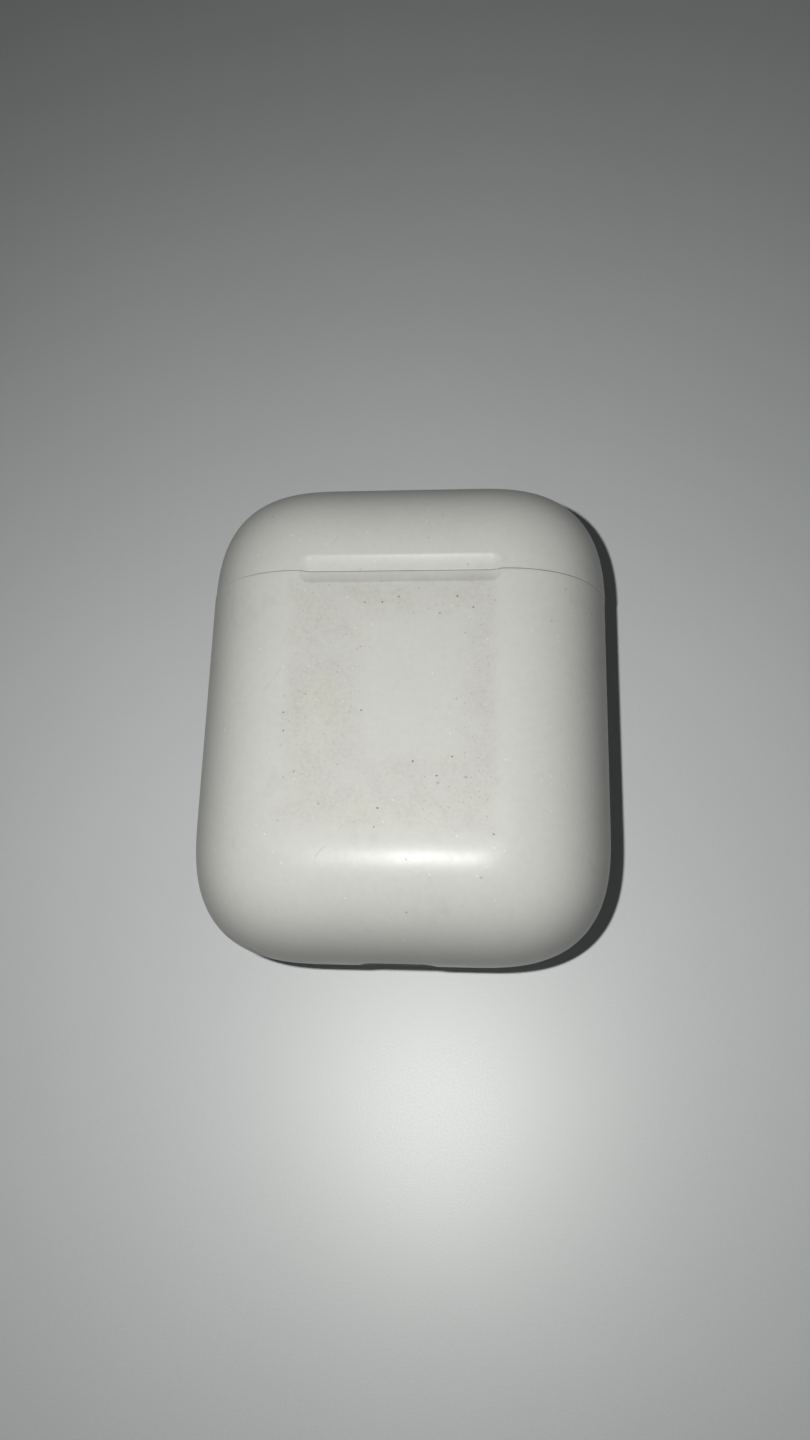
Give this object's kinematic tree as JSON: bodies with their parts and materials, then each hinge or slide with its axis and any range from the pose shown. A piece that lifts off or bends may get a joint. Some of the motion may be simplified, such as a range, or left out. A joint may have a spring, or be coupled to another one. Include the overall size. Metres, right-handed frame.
{
  "type": "wireless earbuds charging case",
  "caption": "Pocket charging case with a hinged lid, a thumb scoop across the seam, stem wells inside, a charging port and a button on the back.",
  "frame": {"origin": "under the middle of the closed case, on the surface that its flat back rests on", "axes": "+Z out of the front face, +Y towards the lid end, +X to the right seen from the front with the lid up"},
  "size_m": [0.0444, 0.0536, 0.0213],
  "materials": {
    "shell": "polished white polycarbonate, lightly soiled and scuffed",
    "liner": "satin white moulded liner",
    "hinge_steel": "polished stainless steel",
    "spring_steel": "plain steel",
    "magnet": "nickel-plated magnet",
    "contact_gold": "gold-plated",
    "insulator": "black moulded insulator",
    "circuit_board": "solder-masked board",
    "chip": "black moulded package",
    "cell_wrap": "dark laminate wrap",
    "foam": "black cushioning foam",
    "flex_film": "amber film with printed tracks",
    "light_lens": "translucent milky plastic"
  },
  "bodies": {
    "base": {"base_shell": "shell", "well_tray": "liner", "hinge_bracket": "hinge_steel", "hinge_pin": "hinge_steel", "hinge_spring": "spring_steel", "base_hinge_screw_left": "spring_steel", "base_hinge_screw_right": "spring_steel", "board_screw_left": "spring_steel", "board_screw_right": "spring_steel", "base_magnet_left": "magnet", "base_magnet_right": "magnet", "bud_magnet_left": "magnet", "bud_magnet_right": "magnet", "contact_block_left": "insulator", "contact_block_right": "insulator", "contact_cable_left": "flex_film", "contact_cable_right": "flex_film", "port_trim": "hinge_steel", "port_shell": "spring_steel", "port_insulator": "insulator", "port_board": "circuit_board", "port_cable": "flex_film", "main_board": "circuit_board", "control_chip": "chip", "charge_chip": "chip", "battery_cell": "cell_wrap", "battery_pad": "foam", "button_switch": "chip", "tray_board": "circuit_board", "status_led": "light_lens", "lid_sensor": "chip", "light_pipe": "light_lens", "tray_cable": "flex_film"},
    "lid": {"lid_shell": "shell", "lid_liner": "liner", "hinge_leaf": "hinge_steel", "lid_hinge_screw_left": "spring_steel", "lid_hinge_screw_right": "spring_steel", "lid_magnet_left": "magnet", "lid_magnet_right": "magnet"},
    "button": {"setup_button": "shell"},
    "contact_pin_left_outer": {"contact_left_outer": "contact_gold"},
    "contact_pin_left_inner": {"contact_left_inner": "contact_gold"},
    "contact_pin_right_inner": {"contact_right_inner": "contact_gold"},
    "contact_pin_right_outer": {"contact_right_outer": "contact_gold"}
  },
  "joints": [
    {"name": "lid_hinge", "type": "hinge", "parent": "base", "child": "lid", "pos_m": [0, 0.0133, 0.0011], "axis": [-1, 0, 0], "range_deg": [0, 100]},
    {"name": "button_press", "type": "slide", "parent": "base", "child": "button", "axis": [0, 0, 1], "range_m": [0, 0.0003], "stiffness_N_per_m": 600, "springref_m": -0.0004},
    {"name": "contact_left_outer_travel", "type": "slide", "parent": "base", "child": "contact_pin_left_outer", "axis": [0, -1, 0], "range_m": [0, 0.0004], "stiffness_N_per_m": 300, "springref_m": -0.0003},
    {"name": "contact_left_inner_travel", "type": "slide", "parent": "base", "child": "contact_pin_left_inner", "axis": [0, -1, 0], "range_m": [0, 0.0004], "stiffness_N_per_m": 300, "springref_m": -0.0003},
    {"name": "contact_right_inner_travel", "type": "slide", "parent": "base", "child": "contact_pin_right_inner", "axis": [0, -1, 0], "range_m": [0, 0.0004], "stiffness_N_per_m": 300, "springref_m": -0.0003},
    {"name": "contact_right_outer_travel", "type": "slide", "parent": "base", "child": "contact_pin_right_outer", "axis": [0, -1, 0], "range_m": [0, 0.0004], "stiffness_N_per_m": 300, "springref_m": -0.0003}
  ]
}
